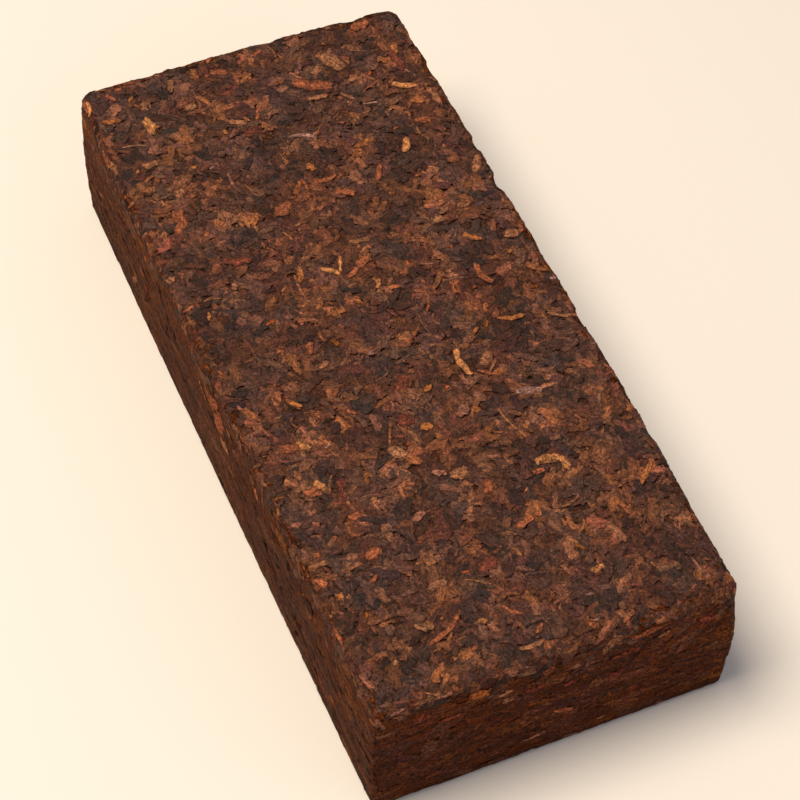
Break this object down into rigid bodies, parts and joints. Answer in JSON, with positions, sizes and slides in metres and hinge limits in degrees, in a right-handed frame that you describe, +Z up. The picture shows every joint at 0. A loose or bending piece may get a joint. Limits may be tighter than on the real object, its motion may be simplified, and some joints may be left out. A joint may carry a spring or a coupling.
{
  "type": "pressed pu erh tea brick",
  "caption": "Rectangular block of ripe pu erh leaves pressed in a mould, out of its wrapper, with a leafy top, smoother sides and worn rims.",
  "frame": {"origin": "middle of the flat underside, on the surface that the brick lies on", "axes": "+X across the brick to its right side, +Y along its length to the back, +Z up"},
  "size_m": [0.081, 0.18, 0.036],
  "materials": {
    "pressed_tea_leaf": "dark red-brown fermented tea leaves pressed into a mat, matt with a faint satin sheen, flecked with orange-tan buds and pale stems"
  },
  "bodies": {
    "root": {"tea_brick": "pressed_tea_leaf"}
  },
  "joints": []
}
